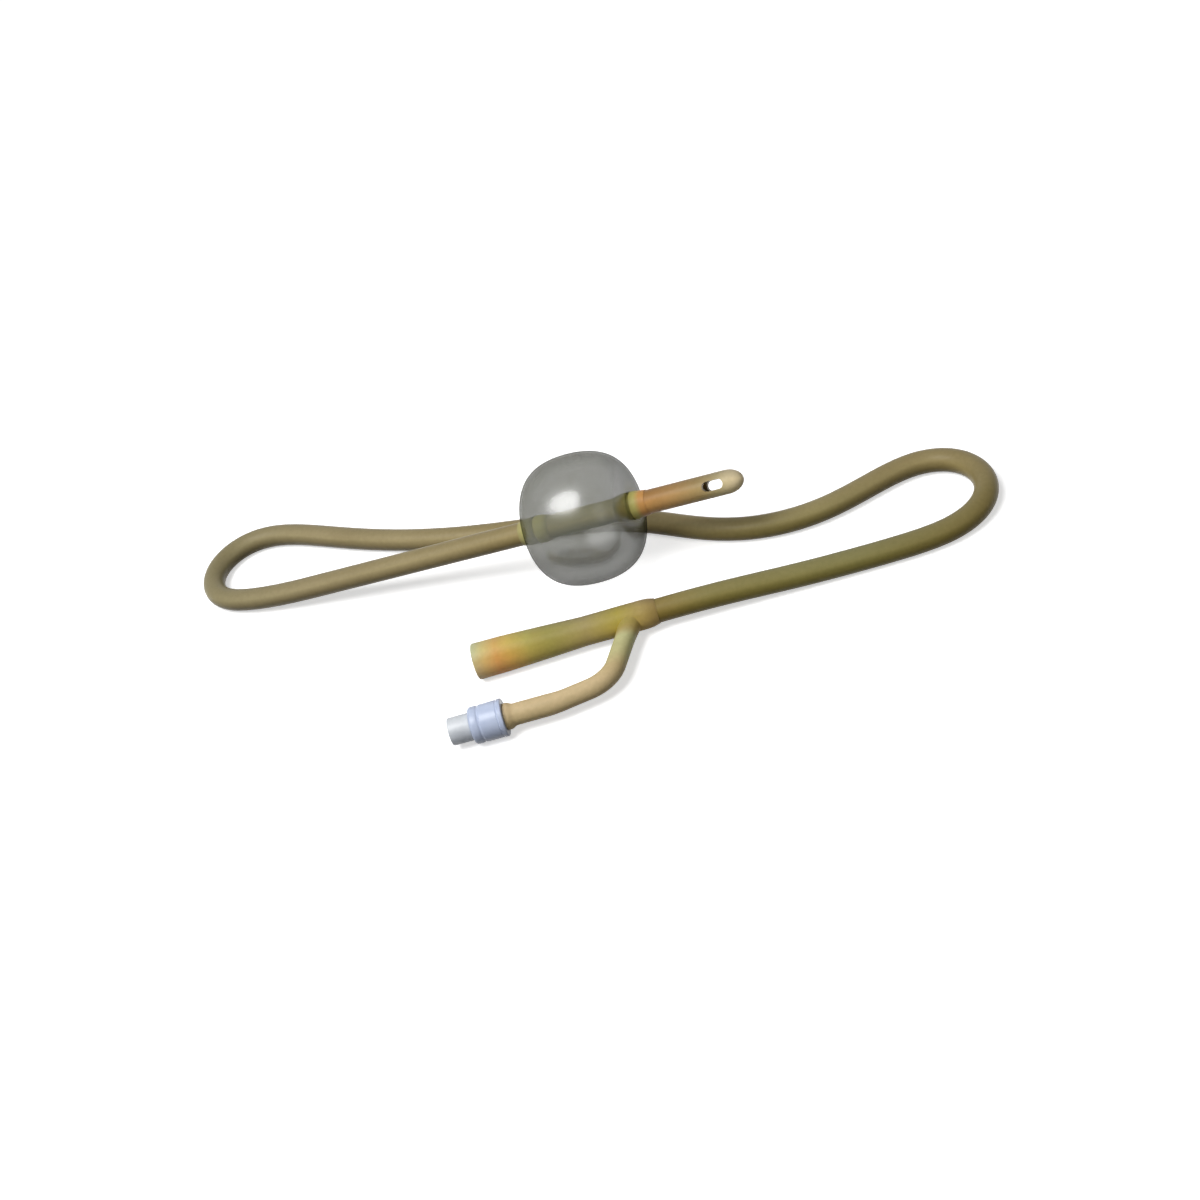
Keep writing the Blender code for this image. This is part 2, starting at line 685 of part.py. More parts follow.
def make_seal(look):
    """The soft ring on the stem that closes against its seat."""
    end = seal_seat() - BOND_GAP
    start = end - SEAL_WIDTH
    bore = STEM_NECK_D / 2 + BOND_GAP
    edge = SEAL_D / 2
    bevel = SEAL_WIDTH / 4
    profile = [
        (start, bore), (start, edge - bevel), (start + bevel, edge),
        (end - bevel, edge), (end, edge - bevel), (end, bore),
    ]
    finish_object("valve_seal", turned(profile, VALVE_SIDES), look, valve_frame())


def make_spring(look):
    """The coil spring between the stem's shoulder and the retaining ring."""
    wire = WIRE_D / 2
    radius = SPRING_D / 2 - wire
    high = seal_seat() - 3 * BOND_GAP - SEAL_WIDTH - SHOULDER_WIDTH - wire
    low = retainer_face() + BOND_GAP + wire
    steps = SPRING_TURNS * SPRING_STEPS
    stations = []
    closed_pitch = WIRE_D * 1.15
    open_pitch = (high - low - 2 * closed_pitch) / (SPRING_TURNS - 2)
    x = low
    for k in range(steps + 1):
        angle = math.tau * k / SPRING_STEPS
        turn_number = (k + 0.5) / SPRING_STEPS
        point = Vector((x, radius * math.cos(angle), radius * math.sin(angle)))
        outward = Vector((0, math.cos(angle), math.sin(angle)))
        stations.append((point, outward, Vector((1, 0, 0))))
        in_end = turn_number < 1 or turn_number > SPRING_TURNS - 1
        x += (closed_pitch if in_end else open_pitch) / SPRING_STEPS
    section = ring(WIRE_SIDES, wire)
    bm = swept(stations, [lambda _: section])
    finish_object("valve_spring", bm, look, valve_frame())


def make_retainer(look):
    """The ring in the end of the barb that carries the spring and lets the water through."""
    start = retainer_face() - RETAINER_WIDTH
    end = retainer_face()
    edge, bore = CHAMBER_D / 2 - BOND_GAP, RETAINER_BORE_D / 2
    bevel = RETAINER_WIDTH / 5
    profile = [
        (start, bore), (start, edge - bevel), (start + bevel, edge),
        (end - bevel, edge), (end, edge - bevel), (end, bore),
    ]
    finish_object("spring_retainer", turned(profile, VALVE_SIDES), look, valve_frame())


def main():
    """Builds the catheter."""
    clear_scene()
    make_shaft(material("amber_rubber", (0.42, 0.30, 0.10), 0.32))
    make_tip(material("orange_rubber", (0.52, 0.26, 0.09), 0.35))
    make_balloon(material("clear_membrane", (0.45, 0.44, 0.40), 0.12, alpha=0.4))
    make_moulding(material("tan_rubber", (0.55, 0.40, 0.16), 0.38))
    make_housing(material("grey_plastic", (0.42, 0.44, 0.48), 0.40))
    make_collar(material("lavender_plastic", (0.50, 0.55, 0.72), 0.35))
    make_stem(material("white_plastic", (0.80, 0.80, 0.78), 0.40))
    make_seal(material("black_rubber", (0.05, 0.05, 0.05), 0.60))
    make_spring(material("spring_steel", (0.62, 0.62, 0.62), 0.28, metallic=1.0))
    make_retainer(material("natural_plastic", (0.70, 0.68, 0.60), 0.45))


main()
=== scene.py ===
import math

import bmesh
import bpy
from mathutils import Matrix, Vector


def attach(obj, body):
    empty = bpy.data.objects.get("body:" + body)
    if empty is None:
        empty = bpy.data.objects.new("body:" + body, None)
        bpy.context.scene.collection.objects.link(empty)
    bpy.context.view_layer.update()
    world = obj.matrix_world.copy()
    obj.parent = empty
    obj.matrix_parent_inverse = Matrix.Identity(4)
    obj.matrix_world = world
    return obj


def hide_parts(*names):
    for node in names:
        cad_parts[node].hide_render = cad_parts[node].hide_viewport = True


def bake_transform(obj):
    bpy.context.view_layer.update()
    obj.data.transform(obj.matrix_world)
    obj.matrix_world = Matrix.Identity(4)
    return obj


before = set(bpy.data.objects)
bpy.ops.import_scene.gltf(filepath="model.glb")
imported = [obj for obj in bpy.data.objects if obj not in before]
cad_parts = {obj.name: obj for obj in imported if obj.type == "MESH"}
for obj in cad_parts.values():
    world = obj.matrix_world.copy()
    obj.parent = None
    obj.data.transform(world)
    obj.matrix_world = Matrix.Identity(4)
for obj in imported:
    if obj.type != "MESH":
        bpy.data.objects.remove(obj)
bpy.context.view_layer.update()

# Sizes of the catheter, in metres, as the solids have them
SHAFT_D = 0.00467
SHAFT_R = SHAFT_D / 2
DRAINAGE_LUMEN_D = 0.0026
TIP_LENGTH = 0.0243
TIP_NOSE = 0.0034
TIP_LUMEN_D = 0.0025
TIP_LUMEN_END = 0.0022
EYE_LENGTH = 0.0042
EYE_WIDTH = 0.0019
EYE_FROM_END = 0.0057
EYE_TILT = math.radians(36.0)
BALLOON_D = 0.0260
BALLOON_WALL = 0.0004
PROXIMAL_NECK = 0.0102
DISTAL_NECK = 0.0110
CUFF_LENGTH = 0.0034
LIP_LENGTH = 0.0030
CUFF_WALL = 0.00042
PROXIMAL_BULGE = 0.0004
DISTAL_BULGE = 0.0005
SHOULDER = 0.0094
NECK_RISE = 0.0051
BOND_GAP = 0.00005
FUNNEL_LENGTH = 0.0360
MOUTH_D = 0.0071
MOUTH_BORE_D = 0.0059
MOUTH_BORE_DEPTH = 0.0075
WAIST_D = 0.00565
SLEEVE_D = 0.0057
SLEEVE_STEP = 0.0004
SOCKET_DEPTH = 0.0100
ARM_D = 0.0038
ARM_BORE_D = 0.0013
ARM_ROOT = 0.0049
ARM_ANGLE = math.radians(69.0)
ARM_BEND = 0.0075
ARM_OFFSET = 0.0176
ARM_END = 0.0310
ARM_ROOT_FLARE = 0.0005
ARM_ROOT_LENGTH = 0.0075
ARM_SOCKET_D = 0.0041
ARM_LIP_D = 0.0050
ARM_LIP_LENGTH = 0.0012
ARM_SLOPE = math.radians(11.0)
ARM_EASE = 0.0200
BARB_SOCKET_D = 0.0032
BARB_SOCKET_DEPTH = 0.0075
COLLAR_D = 0.0070
COLLAR_LENGTH = 0.0063
FLANGE_D = 0.0071
FLANGE_WIDTH = 0.0009
CORE_D = 0.0049
NOSE_D = 0.0052
VALVE_LENGTH = 0.0105
LUER_D = 0.0043
LUER_TAPER = 0.06
LUER_DEPTH = 0.0076
SEAT_BORE_D = 0.0015
SEAT_WIDTH = 0.0010
CHAMBER_D = 0.0021
BARB_LENGTH = 0.0068
BARB_D = 0.0029
BARB_RIDGE = 0.0001
BARB_LIP_WIDTH = 0.0009
BARB_LIP_D = 0.0015
SEAL_WIDTH = 0.0009
STEM_SHOULDER = 0.0005
RETAINER_WIDTH = 0.0009
WIRE_D = 0.0002
SPRING_D = 0.0017
SPRING_TURNS = 6
AXIS_HEIGHT = 0.00355

# Small forms that only the scene has, in metres
MOUTH_ROUND = 0.0003
CORE_ROUND = 0.0002
PORT_CHAMFER = 0.00008
FLANGE_STEP = 0.00005
FLANGE_GROOVE_WIDTH = 0.0004
FLANGE_GROOVE_DEPTH = 0.00012
COLLAR_GROOVE_WIDTH = 0.0008
COLLAR_GROOVE_DEPTH = 0.00018
COLLAR_ROUND = 0.0006
COLLAR_ROUND_DEPTH = 0.00045

# Places and the shaft's route, which starts at the funnel's mouth
MOUTH = Vector((-0.0221, -0.0226, AXIS_HEIGHT))
BALLOON_PLAN = (0.0261, 0.0221)
TIP_HEADING = math.radians(-14.3)
TIP_PITCH = math.radians(7.9)
TIP_BLEND = 0.0080
ROUTE = (
    (0.0260, 0.0000), (0.0320, 0.0000), (0.0380, 0.0000), (0.0440, 0.0000), (0.0530, 0.0000),
    (0.0630, 0.0000), (0.0730, 0.0000), (0.0830, 0.0000), (0.0920, 0.0006), (0.0988, 0.0040),
    (0.1026, 0.0099), (0.1026, 0.0166), (0.0988, 0.0224), (0.0915, 0.0246), (0.0830, 0.0218),
    (0.0740, 0.0180), (0.0645, 0.0168), (0.0550, 0.0186), (0.0464, 0.0234), (0.0388, 0.0294),
    (0.0295, 0.0346), (0.0190, 0.0374), (0.0070, 0.0402), (-0.0050, 0.0438), (-0.0165, 0.0486),
    (-0.0272, 0.0544), (-0.0364, 0.0602), (-0.0440, 0.0640), (-0.0508, 0.0643),
    (-0.0563, 0.0606), (-0.0588, 0.0545), (-0.0577, 0.0480), (-0.0532, 0.0432),
)
LINE_POINTS = (0.0070, 0.0170, 0.0270)
SETTLE_START = 0.0440
SETTLE_END = 0.0700

# The photograph's viewpoint
CAMERA_AT = Vector((0.0334, -0.2659, 0.2012))
CAMERA_TARGET = Vector((0.0029, -0.0102, 0.0))
CAMERA_ROLL = math.radians(20.0)
CAMERA_LENS = 50.0
CAMERA_SENSOR = 36.0
CAMERA_CLIP = (0.01, 10.0)

# The direction by which the tubes' painted light and shade are laid on, as the surface turns
# towards it or away from it
LOWER_FRONT = (0.0, -0.62, -0.785)

# Where one tone passes into another, in metres from each piece's own start or axis
LEG_BLEND = (0.006, 0.026)
NEAR_LEG_LENGTH = 0.064
FAR_LEG_START = -0.083
FAR_LEG_LENGTH = 0.080
ARM_TONE_BLEND = (0.0032, 0.0056)
MOUTH_TONE_BLEND = (0.0070, 0.0125)
ARM_SHADE_HEIGHTS = (0.001, 0.0068)
NEAR_NECK_BLEND = (0.0030, 0.0066)
FAR_NECK_BLEND = (0.0030, 0.0056)

# Angles in degrees past which an edge is sharp, and the gap in metres that doubled points have
SHARP_ANGLE = 35.0
FINE_SHARP_ANGLE = 28.0
DOUBLED = 1e-7

# Materials and lights
RUBBER_SPECULAR = 0.12
MEMBRANE_GRAIN = 240.0
MEMBRANE_TONE = (0.085, 0.086, 0.066)
WORLD_LIGHT = 0.14
FLOOR_HALF = 6.0
LAMPS = (
    ("key", (-0.212, -0.165, 0.537), 0.40, 3.5),
    ("fill", (0.55, -0.55, 0.50), 0.60, 0.5),
)


def level_direction():
    return Vector((math.cos(TIP_HEADING), math.sin(TIP_HEADING), 0))


def tip_direction():
    level = level_direction() * math.cos(TIP_PITCH)
    return level + Vector((0, 0, math.sin(TIP_PITCH)))


def balloon_side(neck_at, reach, steps):
    """The membrane from its neck to its equator as (x, radius)."""
    neck = Vector((neck_at, SHAFT_R + BOND_GAP + CUFF_WALL))
    equator = Vector((0.0, BALLOON_D / 2))
    lift = neck + Vector((reach, NECK_RISE))
    shoulder = equator + Vector((SHOULDER, 0.0))
    points = []
    for k in range(steps + 1):
        t = k / steps
        w = 1 - t
        p = w ** 3 * neck + 3 * w * w * t * lift + 3 * w * t * t * shoulder + t ** 3 * equator
        points.append((p.x, p.y))
    return points


def balloon_outline(steps):
    near = [(-x, radius) for x, radius in balloon_side(PROXIMAL_NECK, PROXIMAL_BULGE, steps)]
    return near + balloon_side(DISTAL_NECK, DISTAL_BULGE, steps)[-2::-1]


def rest_height():
    """How high the balloon's centre lies when the membrane touches the floor."""
    sine, cosine = math.sin(TIP_PITCH), math.cos(TIP_PITCH)
    return max(radius * cosine - x * sine for x, radius in balloon_outline(10))


BALLOON = Vector((MOUTH.x + BALLOON_PLAN[0], MOUTH.y + BALLOON_PLAN[1], rest_height()))
TOUCH_DOWN = BALLOON - tip_direction() * ((BALLOON.z - SHAFT_R) / math.sin(TIP_PITCH))
TIP_JOINT = BALLOON + tip_direction() * (DISTAL_NECK - CUFF_LENGTH / 2)
VALVE = Vector((MOUTH.x + FUNNEL_LENGTH - ARM_END, MOUTH.y - ARM_OFFSET, AXIS_HEIGHT))


def lying_height(ahead):
    """Axis height past the touch-down, blended into the tip's slope."""
    slope = math.tan(TIP_PITCH)
    if ahead <= -TIP_BLEND:
        return SHAFT_R
    if ahead >= TIP_BLEND:
        return SHAFT_R + slope * ahead
    return SHAFT_R + slope * (ahead + TIP_BLEND) ** 2 / (4 * TIP_BLEND)


def settle_height(from_mouth):
    t = min(1.0, max(0.0, (from_mouth - SETTLE_START) / (SETTLE_END - SETTLE_START)))
    return AXIS_HEIGHT + (SHAFT_R - AXIS_HEIGHT) * t * t * (3 - 2 * t)


def route_points():
    points = []
    for number, (x, y) in enumerate(ROUTE):
        height = settle_height(x) if number < len(ROUTE) // 2 else SHAFT_R
        points.append(Vector((MOUTH.x + x, MOUTH.y + y, height)))
    points[0].x = MOUTH.x + FUNNEL_LENGTH - SOCKET_DEPTH + BOND_GAP
    level = level_direction()
    points[-1].z = lying_height((points[-1] - TOUCH_DOWN).dot(level))
    for ahead in LINE_POINTS:
        place = TOUCH_DOWN + level * ahead
        place.z = lying_height(ahead)
        points.append(place)
    return points


def shaft_line():
    """The shaft's axis along a cubic B-spline, then the straight that carries the balloon."""
    points = route_points()
    guide = [2 * points[0] - points[1], *points, 2 * points[-1] - points[-2]]
    curve = []
    for a, b, c, d in zip(guide, guide[1:], guide[2:], guide[3:]):
        turn = (c - a).angle(d - b)
        steps = max(2, math.ceil(turn / math.radians(4)), math.ceil((c - b).length / 0.004))
        for k in range(steps):
            t = k / steps
            w = 1 - t
            curve.append((
                w ** 3 * a + (3 * t ** 3 - 6 * t * t + 4) * b
                + (3 * w ** 3 - 6 * w * w + 4) * c + t ** 3 * d
            ) / 6)
    start = TOUCH_DOWN + tip_direction() * (LINE_POINTS[-1] / math.cos(TIP_PITCH))
    for k in range(16):
        curve.append(start.lerp(TIP_JOINT, k / 15))
    return curve


def stations_along(line):
    """The point, the level direction to its right, and the way up, at each point of a line."""
    frames = []
    for k, point in enumerate(line):
        forward = (line[min(k + 1, len(line) - 1)] - line[max(k - 1, 0)]).normalized()
        right = forward.cross(Vector((0, 0, 1))).normalized()
        frames.append((point, right, right.cross(forward)))
    return frames


def ring(sides, radius):
    turns = [math.tau * k / sides for k in range(sides)]
    return [(radius * math.cos(a), radius * math.sin(a)) for a in turns]


def skin(bm, rows):
    """Joins rings of points with faces; a ring can be a single point on the axis."""
    for a, b in zip(rows, rows[1:]):
        sides = max(len(a), len(b))
        if sides == 1:
            continue
        for k in range(sides):
            after = k + 1
            corners = (a[k % len(a)], a[after % len(a)], b[after % len(b)], b[k % len(b)])
            bm.faces.new(tuple(dict.fromkeys(corners)))


def swept(stations, outline):
    """Sweeps a closed outline, given for each station's number, along stations."""
    bm = bmesh.new()
    rows = []
    for number, (point, side, up) in enumerate(stations):
        rows.append([bm.verts.new(point + side * s + up * u) for s, u in outline(number)])
    skin(bm, rows)
    for row in (rows[0], rows[-1]):
        rim = [bm.edges.get((row[k - 1], row[k])) for k in range(len(row))]
        bmesh.ops.triangle_fill(bm, use_beauty=True, use_dissolve=False, edges=rim)
    return bm


def turned(profile, sides):
    """A solid turned about X from a closed profile of (x, radius) points."""
    bm = bmesh.new()
    rows = []
    for x, radius in profile:
        around = ring(sides, radius) if radius > 0 else [(0.0, 0.0)]
        rows.append([bm.verts.new((x, y, z)) for y, z in around])
    skin(bm, rows + rows[:1])
    return bm


def rounded_start(x, radius, size, steps):
    """A rounded edge that rises from an end face to the wall, as (x, radius) points."""
    turns = [math.pi / 2 * k / steps for k in range(steps + 1)]
    return [(x + size * (1 - math.cos(a)), radius - size * (1 - math.sin(a))) for a in turns]


def rounded_end(x, radius, size, drop, steps):
    """A rounded edge that falls from the wall to an end face, as (x, radius) points."""
    turns = [math.pi / 2 * k / steps for k in range(steps + 1)]
    return [(x - size * (1 - math.sin(a)), radius - drop * (1 - math.cos(a))) for a in turns]


def smooth(mesh, sharp=SHARP_ANGLE):
    mesh.shade_smooth()
    mesh.set_sharp_from_angle(angle=math.radians(sharp))


def make_object(name, bm, place=None, sharp=SHARP_ANGLE):
    bmesh.ops.recalc_face_normals(bm, faces=bm.faces)
    mesh = bpy.data.meshes.new(name)
    bm.to_mesh(mesh)
    bm.free()
    smooth(mesh, sharp)
    made = bpy.data.objects.new(name, mesh)
    bpy.context.scene.collection.objects.link(made)
    if place is not None:
        made.matrix_world = place
    bpy.context.view_layer.update()
    return made


def apply_modifiers(thing):
    """Turns an object's modifiers into its mesh."""
    bpy.context.view_layer.update()
    graph = bpy.context.evaluated_depsgraph_get()
    mesh = bpy.data.meshes.new_from_object(thing.evaluated_get(graph), depsgraph=graph)
    old = thing.data
    thing.modifiers.clear()
    thing.data = mesh
    bpy.data.meshes.remove(old)


def join_doubled(mesh):
    """Joins the points that a cut leaves on top of each other."""
    bm = bmesh.new()
    bm.from_mesh(mesh)
    bmesh.ops.remove_doubles(bm, verts=bm.verts, dist=DOUBLED)
    bm.to_mesh(mesh)
    bm.free()


def boolean(body, tool, operation):
    step = body.modifiers.new("cut", "BOOLEAN")
    step.operation = operation
    step.solver = "EXACT"
    step.object = tool
    apply_modifiers(body)
    join_doubled(body.data)
    bpy.data.objects.remove(tool, do_unlink=True)


def tip_frame(origin):
    turn = Matrix.Rotation(TIP_HEADING, 4, "Z") @ Matrix.Rotation(-TIP_PITCH, 4, "Y")
    return Matrix.Translation(origin) @ turn


def valve_frame():
    return Matrix.Translation(VALVE) @ Matrix.Rotation(math.pi, 4, "Z")


class Look:
    """A Principled material with short calls for its nodes."""

    def __init__(self, name, colour, roughness, **settings):
        self.material = bpy.data.materials.new(name)
        self.material.use_nodes = True
        self.nodes = self.material.node_tree.nodes
        self.links = self.material.node_tree.links
        self.shader = self.nodes["Principled BSDF"]
        self.shader.inputs["Base Color"].default_value = (*colour, 1.0)
        self.shader.inputs["Roughness"].default_value = roughness
        for socket, value in settings.items():
            self.shader.inputs[socket.replace("_", " ")].default_value = value
        self.coords = self.nodes.new("ShaderNodeTexCoord").outputs["Object"]

    def noise(self, scale, detail=3.0):
        node = self.nodes.new("ShaderNodeTexNoise")
        node.inputs["Scale"].default_value = scale
        node.inputs["Detail"].default_value = detail
        self.links.new(self.coords, node.inputs["Vector"])
        return node.outputs["Fac"]

    def vector_math(self, operation, a, b, output="Value"):
        node = self.nodes.new("ShaderNodeVectorMath")
        node.operation = operation
        self.links.new(a, node.inputs[0])
        node.inputs[1].default_value = b
        return node.outputs[output]

    def along(self, origin, direction, start, end):
        """Runs from 0 to 1 between two distances from an origin along a direction."""
        away = self.vector_math("SUBTRACT", self.coords, origin, "Vector")
        return self.scalar(self.vector_math("DOT_PRODUCT", away, direction), 0.0, 1.0, start, end)

    def turned_to(self, direction):
        """Runs from 0 to 1 as the surface turns from away from a direction to towards it."""
        normal = self.nodes.new("ShaderNodeTexCoord").outputs["Normal"]
        return self.scalar(self.vector_math("DOT_PRODUCT", normal, direction), 0.0, 1.0, -1.0, 1.0)

    def near(self, origin, start, end):
        """Runs from 1 to 0 between two distances from a point."""
        return self.scalar(self.vector_math("DISTANCE", self.coords, origin), 1.0, 0.0, start, end)

    def ramp(self, factor, stops):
        node = self.nodes.new("ShaderNodeValToRGB")
        elements = node.color_ramp.elements
        while len(elements) < len(stops):
            elements.new(0.5)
        for element, (place, colour) in zip(elements, stops):
            element.position = place
            element.color = (*colour, 1.0)
        self.links.new(factor, node.inputs["Fac"])
        return node.outputs["Color"]

    def scalar(self, factor, low, high, start=0.0, end=1.0):
        node = self.nodes.new("ShaderNodeMapRange")
        self.links.new(factor, node.inputs["Value"])
        node.inputs["From Min"].default_value = start
        node.inputs["From Max"].default_value = end
        node.inputs["To Min"].default_value = low
        node.inputs["To Max"].default_value = high
        return node.outputs["Result"]

    def mix(self, factor, a, b, blend="MIX"):
        node = self.nodes.new("ShaderNodeMix")
        node.data_type = "RGBA"
        node.blend_type = blend
        for socket, value in ((0, factor), (6, a), (7, b)):
            if isinstance(value, (int, float)):
                node.inputs[socket].default_value = value
            elif isinstance(value, tuple):
                node.inputs[socket].default_value = (*value, 1.0)
            else:
                self.links.new(value, node.inputs[socket])
        return node.outputs[2]

    def math(self, operation, a, b):
        node = self.nodes.new("ShaderNodeMath")
        node.operation = operation
        self.links.new(a, node.inputs[0])
        self.links.new(b, node.inputs[1])
        return node.outputs[0]

    def mottle(self, scale, detail, low, high):
        """Noise between two colours."""
        return self.ramp(self.noise(scale, detail), ((0.3, low), (0.7, high)))

    def set(self, socket, value):
        self.links.new(value, self.shader.inputs[socket])

    def bump(self, height, strength, distance):
        node = self.nodes.new("ShaderNodeBump")
        node.inputs["Strength"].default_value = strength
        node.inputs["Distance"].default_value = distance
        self.links.new(height, node.inputs["Height"])
        self.set("Normal", node.outputs["Normal"])


def finish_rubber(look, base, roughness=0.36):
    """Gives coated latex of a base colour its mottle, specks, gloss and fine bumps."""
    broad = look.ramp(look.noise(70.0, 2.0), (
        (0.30, (0.90, 0.89, 0.86)), (0.72, (1.05, 1.05, 1.05)),
    ))
    fine = look.mottle(1300.0, 2.0, (0.92, 0.92, 0.91), (1.0, 1.0, 1.0))
    mottled = look.mix(1.0, base, broad, "MULTIPLY")
    look.set("Base Color", look.mix(1.0, mottled, fine, "MULTIPLY"))
    look.set("Roughness", look.scalar(look.noise(260.0, 3.0), roughness - 0.05, roughness + 0.08))
    look.bump(look.noise(700.0, 4.0), 0.3, 0.00005)


def make_camera():
    camera = bpy.data.cameras.new("camera")
    camera.lens = CAMERA_LENS
    camera.sensor_width = CAMERA_SENSOR
    camera.clip_start, camera.clip_end = CAMERA_CLIP
    back = (CAMERA_AT - CAMERA_TARGET).normalized()
    right = Vector((0, 0, 1)).cross(back).normalized()
    up = back.cross(right)
    cosine, sine = math.cos(CAMERA_ROLL), math.sin(CAMERA_ROLL)
    across = right * cosine - up * sine
    upward = right * sine + up * cosine
    made = bpy.data.objects.new("camera", camera)
    made.matrix_world = Matrix((
        (across.x, upward.x, back.x, CAMERA_AT.x),
        (across.y, upward.y, back.y, CAMERA_AT.y),
        (across.z, upward.z, back.z, CAMERA_AT.z),
        (0, 0, 0, 1),
    ))
    bpy.context.scene.collection.objects.link(made)
    bpy.context.scene.camera = made


def make_shaft():
    line = shaft_line()
    outer = ring(32, SHAFT_R)
    bm = swept(stations_along(line), lambda _: outer)
    shaft = make_object("shaft", bm)
    look = Look("coated_latex_shaft", (0.36, 0.30, 0.16), 0.36, Specular_IOR_Level=RUBBER_SPECULAR)
    side = look.along((0, MOUTH.y, 0), (0, 1, 0), *LEG_BLEND)
    along_leg = look.along((MOUTH.x + FUNNEL_LENGTH, 0, 0), (1, 0, 0), 0.0, NEAR_LEG_LENGTH)
    near_leg = look.ramp(along_leg, (
        (0.0, (0.27, 0.20, 0.062)), (0.15, (0.25, 0.212, 0.074)), (0.6, (0.235, 0.21, 0.08)),
        (1.0, (0.235, 0.185, 0.066)),
    ))
    along_leg = look.along((FAR_LEG_START, 0, 0), (1, 0, 0), 0.0, FAR_LEG_LENGTH)
    far_leg = look.ramp(along_leg, (
        (0.0, (0.33, 0.285, 0.155)), (0.35, (0.37, 0.305, 0.165)), (1.0, (0.40, 0.32, 0.155)),
    ))
    body = look.mix(side, near_leg, far_leg)
    # Painted light and shade by the way the surface faces: the side towards LOWER_FRONT is painted
    # darker and yellower, a band across the middle lighter, and the side turned away bluer on the
    # near leg and darker on the far leg
    lower_front = look.turned_to(LOWER_FRONT)
    near_painted_light = look.ramp(lower_front, (
        (0.0, (0.96, 0.99, 1.18)), (0.3, (1.02, 1.03, 1.06)), (0.5, (1.10, 1.09, 1.0)),
        (0.68, (0.84, 0.81, 0.56)), (0.85, (0.78, 0.74, 0.45)), (1.0, (0.95, 0.91, 0.72)),
    ))
    far_painted_light = look.ramp(lower_front, (
        (0.0, (0.70, 0.70, 0.70)), (0.25, (0.80, 0.80, 0.80)), (0.5, (1.03, 1.03, 1.03)),
        (0.7, (0.82, 0.80, 0.75)), (0.87, (0.60, 0.58, 0.49)), (1.0, (0.76, 0.74, 0.68)),
    ))
    body = look.mix(1.0, body, look.mix(side, near_painted_light, far_painted_light), "MULTIPLY")
    heading = tip_direction()
    inside = look.near(tuple(BALLOON), PROXIMAL_NECK - CUFF_LENGTH / 2, DISTAL_NECK + SHAFT_R / 2)
    upward = heading.cross(Vector((0, 0, 1)).cross(heading))
    across = look.along(tuple(BALLOON), tuple(upward), -SHAFT_R, SHAFT_R)
    # Inside the balloon the shaft keeps its olive tone with painted shade across it: darkest
    # underneath, lightest a little below its top
    sleeve = look.ramp(across, (
        (0.0, (0.10, 0.095, 0.030)), (0.35, (0.24, 0.225, 0.075)), (0.72, (0.46, 0.41, 0.18)),
        (1.0, (0.34, 0.31, 0.14)),
    ))
    finish_rubber(look, look.mix(inside, body, sleeve))
    shaft.data.materials.append(look.material)
    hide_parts("shaft_tube")
    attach(shaft, "catheter")
    return shaft, line


def make_tip():
    profile = [(BOND_GAP, SHAFT_R)]
    nose_start = TIP_LENGTH - TIP_NOSE
    for k in range(6):
        profile.append((nose_start * (k + 1) / 7, SHAFT_R))
    for k in range(15):
        angle = math.pi / 2 * k / 14
        radius = 0.0 if k == 14 else SHAFT_R * math.cos(angle)
        profile.append((nose_start + TIP_NOSE * math.sin(angle), radius))
    lumen = TIP_LUMEN_D / 2
    lumen_end = TIP_LENGTH - TIP_LUMEN_END
    for k in range(8, -1, -1):
        angle = math.pi / 2 * k / 8
        radius = 0.0 if k == 8 else lumen * math.cos(angle)
        profile.append((lumen_end - lumen + lumen * math.sin(angle), radius))
    profile.append((BOND_GAP, lumen))
    tip = make_object("eyed_tip", turned(profile, 64), tip_frame(TIP_JOINT))

    straight = (EYE_LENGTH - EYE_WIDTH) / 2
    eye = bmesh.new()
    outline = []
    for k in range(48):
        angle = math.tau * (k + 0.5) / 48
        shift = math.copysign(straight, math.cos(angle))
        outline.append((shift + EYE_WIDTH / 2 * math.cos(angle), EYE_WIDTH / 2 * math.sin(angle)))
    rows = [[eye.verts.new((x, y, z)) for x, z in outline] for y in (-SHAFT_D, SHAFT_D)]
    skin(eye, rows)
    eye.faces.new(rows[0])
    eye.faces.new(rows[1][::-1])
    place = tip_frame(TIP_JOINT) @ Matrix.Translation((TIP_LENGTH - EYE_FROM_END, 0, 0))
    tool = make_object("eye", eye, place @ Matrix.Rotation(-EYE_TILT, 4, "X"))
    boolean(tip, tool, "DIFFERENCE")
    smooth(tip.data)

    look = Look("coated_latex_tip", (0.45, 0.29, 0.11), 0.34, Specular_IOR_Level=RUBBER_SPECULAR)
    # Along the tip: its own orange and gold tones, with a painted highlight that makes it paler
    # towards the nose
    body = look.ramp(look.along((0, 0, 0), (1, 0, 0), 0.0, TIP_LENGTH), (
        (0.10, (0.53, 0.26, 0.08)), (0.45, (0.50, 0.30, 0.115)), (0.66, (0.46, 0.33, 0.14)),
        (0.80, (0.56, 0.46, 0.24)), (0.94, (0.80, 0.66, 0.40)),
    ))
    # Painted shade: the side turned away from LOWER_FRONT is painted darker, the side towards it a
    # little lighter
    lower_front = tip_frame(TIP_JOINT).to_3x3().transposed() @ Vector(LOWER_FRONT)
    painted_light = look.ramp(look.turned_to(tuple(lower_front)), (
        (0.0, (0.56, 0.57, 0.62)), (0.25, (0.72, 0.73, 0.76)), (0.5, (1.0, 1.0, 1.0)),
        (0.8, (1.0, 1.0, 0.98)), (1.0, (1.1, 1.1, 1.0)),
    ))
    finish_rubber(look, look.mix(1.0, body, painted_light, "MULTIPLY"), 0.33)
    tip.data.materials.clear()
    tip.data.materials.append(look.material)
    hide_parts("drainage_tip")
    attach(tip, "catheter")
    return tip


def stretched_tone(look, grain):
    return look.ramp(grain, ((0.30, (0.048, 0.050, 0.022)), (0.70, (0.070, 0.070, 0.036))))


